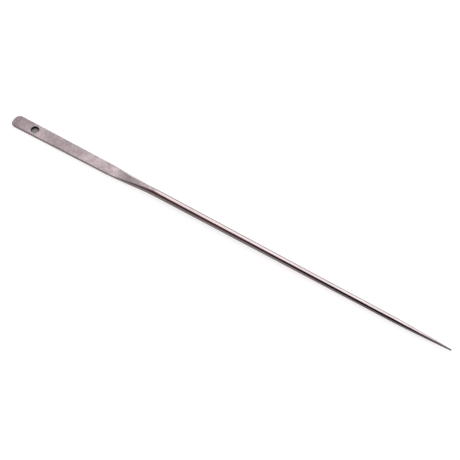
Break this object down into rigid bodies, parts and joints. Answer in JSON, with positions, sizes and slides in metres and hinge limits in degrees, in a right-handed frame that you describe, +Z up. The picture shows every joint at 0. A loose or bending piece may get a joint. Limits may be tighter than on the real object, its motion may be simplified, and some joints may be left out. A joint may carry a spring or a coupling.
{
  "type": "regulator needle",
  "caption": "Long steel upholstery needle with a flat paddle and eye at one end and a round tapered shank to a point, for evening out stuffing.",
  "frame": {"origin": "under the middle of the length, on the surface that the needle rests on", "axes": "+X along the needle towards its point, +Y across the paddle's width, +Z up from the surface it rests on"},
  "size_m": [0.254, 0.0074, 0.0037],
  "materials": {
    "steel": "polished round shank and point, satin ground flats on the paddle"
  },
  "bodies": {
    "root": {"needle": "steel"}
  },
  "joints": []
}
